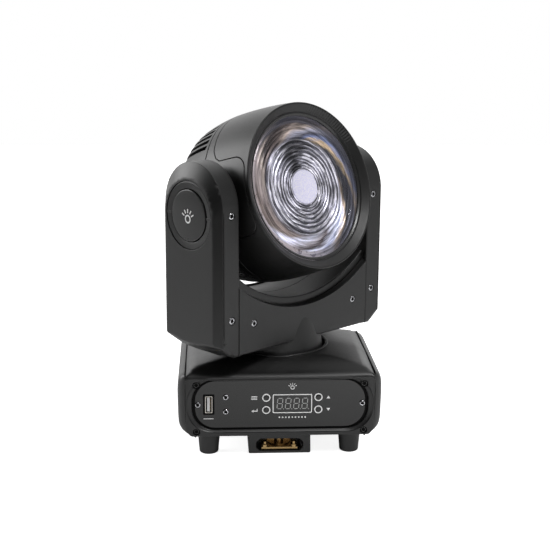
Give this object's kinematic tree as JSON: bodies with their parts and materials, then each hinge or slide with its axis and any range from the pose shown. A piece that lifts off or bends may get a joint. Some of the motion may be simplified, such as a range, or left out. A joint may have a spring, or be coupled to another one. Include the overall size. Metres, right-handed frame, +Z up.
{
  "type": "moving head light",
  "caption": "Compact moving head wash light: base with control panel and display, panning yoke, and a round tilting head with a stepped lens and a louvred rear.",
  "frame": {"origin": "on the pan axis, level with the bottom of the rubber feet", "axes": "-Y towards the front panel, +X to the right seen from the front, +Z up along the pan axis"},
  "size_m": [0.1748, 0.1626, 0.2697],
  "materials": {
    "cover_plastic": "fine moulded grain, satin",
    "bezel_plastic": "smooth satin",
    "cap_plastic": "semi-gloss disc",
    "panel_gloss": "glossy black with white print",
    "display_window": "smoked window over unlit digits",
    "circuit_board": "solder mask",
    "plated_steel": "nickel plate",
    "frame_steel": "zinc-plated sheet",
    "black_steel": "fine black powder coat",
    "connector_plastic": "moulded black",
    "motor_black": "black lamination stack",
    "belt_rubber": "matt",
    "foot_rubber": "matt",
    "yellow_zinc": "yellow zinc plate",
    "screw_black": "black oxide",
    "screw_silver": "bright zinc",
    "button_plastic": "matt black",
    "pulley_metal": "turned",
    "lens_clear": "clear stepped lens",
    "reflector_mirror": "vacuum-metallised",
    "led_board": "LED array on a board",
    "heat_sink_metal": "extruded fins",
    "fan_plastic": "moulded black"
  },
  "bodies": {
    "base": {"base_plate": "black_steel", "base_top_cover": "cover_plastic", "base_side_left": "cover_plastic", "base_side_right": "cover_plastic", "front_bezel": "bezel_plastic", "control_panel": "panel_gloss", "display_module": "display_window", "control_board": "circuit_board", "usb_socket": "plated_steel", "rear_panel": "black_steel", "power_inlet": "connector_plastic", "data_sockets": "connector_plastic", "power_supply": "circuit_board", "pan_motor": "motor_black", "pan_belt": "belt_rubber", "pan_bearing_plate": "frame_steel", "pan_bearing": "plated_steel", "rubber_feet": "foot_rubber", "rigging_bracket": "black_steel", "bracket_plates": "yellow_zinc", "bezel_screws": "screw_black", "panel_screws": "screw_silver", "rear_screws": "screw_black"},
    "yoke": {"pan_shaft": "plated_steel", "pan_pulley": "pulley_metal", "yoke_frame": "frame_steel", "arm_shell_left": "cover_plastic", "arm_shell_right": "cover_plastic", "arm_cover_left": "cover_plastic", "arm_cover_right": "cover_plastic", "centre_cover_front": "cover_plastic", "centre_cover_rear": "cover_plastic", "saddle_cover": "cover_plastic", "arm_caps": "cap_plastic", "tilt_motor": "motor_black", "tilt_belt": "belt_rubber", "tilt_bearings": "plated_steel", "yoke_screws": "screw_silver"},
    "head": {"front_housing": "cover_plastic", "lens_ring": "bezel_plastic", "lens": "lens_clear", "head_frame": "cover_plastic", "rear_housing": "cover_plastic", "tilt_pulley": "pulley_metal", "tilt_trunnion": "plated_steel", "reflector": "reflector_mirror", "led_module": "led_board", "heat_sink": "heat_sink_metal", "fan_frame": "fan_plastic", "head_screws": "screw_black"},
    "button_upper_left": {"button_upper_left": "button_plastic"},
    "button_lower_left": {"button_lower_left": "button_plastic"},
    "button_upper_right": {"button_upper_right": "button_plastic"},
    "button_lower_right": {"button_lower_right": "button_plastic"},
    "quick_lock_front": {"quick_lock_front": "yellow_zinc"},
    "quick_lock_rear": {"quick_lock_rear": "yellow_zinc"},
    "pan_motor_pulley": {"pan_motor_pulley": "pulley_metal"},
    "tilt_motor_pulley": {"tilt_motor_pulley": "pulley_metal"},
    "fan_rotor": {"fan_rotor": "fan_plastic"}
  },
  "joints": [
    {"name": "pan", "type": "hinge", "parent": "base", "child": "yoke", "pos_m": [0, 0, 0.054], "axis": [0, 0, 1], "range_deg": [-310.5, 229.5]},
    {"name": "tilt", "type": "hinge", "parent": "yoke", "child": "head", "pos_m": [0, 0, 0.1965], "axis": [0.7604, 0.6494, 0], "range_deg": [-183, 37]},
    {"name": "pan_motor_turn", "type": "hinge", "parent": "base", "child": "pan_motor_pulley", "pos_m": [-0.05, 0.0143, 0.063], "axis": [0, 0, 1], "range_deg": [-1290, 960]},
    {"name": "tilt_motor_turn", "type": "hinge", "parent": "yoke", "child": "tilt_motor_pulley", "pos_m": [-0.06235, -0.05325, 0.108], "axis": [0.7604, 0.6494, 0], "range_deg": [-555, 115]},
    {"name": "fan_spin", "type": "hinge", "parent": "head", "child": "fan_rotor", "pos_m": [-0.02795, 0.03272, 0.18334], "axis": [-0.6211, 0.7272, -0.2924], "continuous": true},
    {"name": "press_upper_left", "type": "slide", "parent": "base", "child": "button_upper_left", "axis": [0, 1, 0], "range_m": [0, 0.0004], "stiffness_N_per_m": 800},
    {"name": "press_lower_left", "type": "slide", "parent": "base", "child": "button_lower_left", "axis": [0, 1, 0], "range_m": [0, 0.0004], "stiffness_N_per_m": 800},
    {"name": "press_upper_right", "type": "slide", "parent": "base", "child": "button_upper_right", "axis": [0, 1, 0], "range_m": [0, 0.0004], "stiffness_N_per_m": 800},
    {"name": "press_lower_right", "type": "slide", "parent": "base", "child": "button_lower_right", "axis": [0, 1, 0], "range_m": [0, 0.0004], "stiffness_N_per_m": 800},
    {"name": "lock_front", "type": "hinge", "parent": "base", "child": "quick_lock_front", "pos_m": [0, -0.038, 0.01], "axis": [0, 0, 1], "range_deg": [0, 90]},
    {"name": "lock_rear", "type": "hinge", "parent": "base", "child": "quick_lock_rear", "pos_m": [0, 0.038, 0.01], "axis": [0, 0, 1], "range_deg": [0, 90]}
  ],
  "couplings": [
    {"joint": "pan_motor_turn", "follows": "pan", "ratio": 4.125},
    {"joint": "tilt_motor_turn", "follows": "tilt", "ratio": 3}
  ]
}
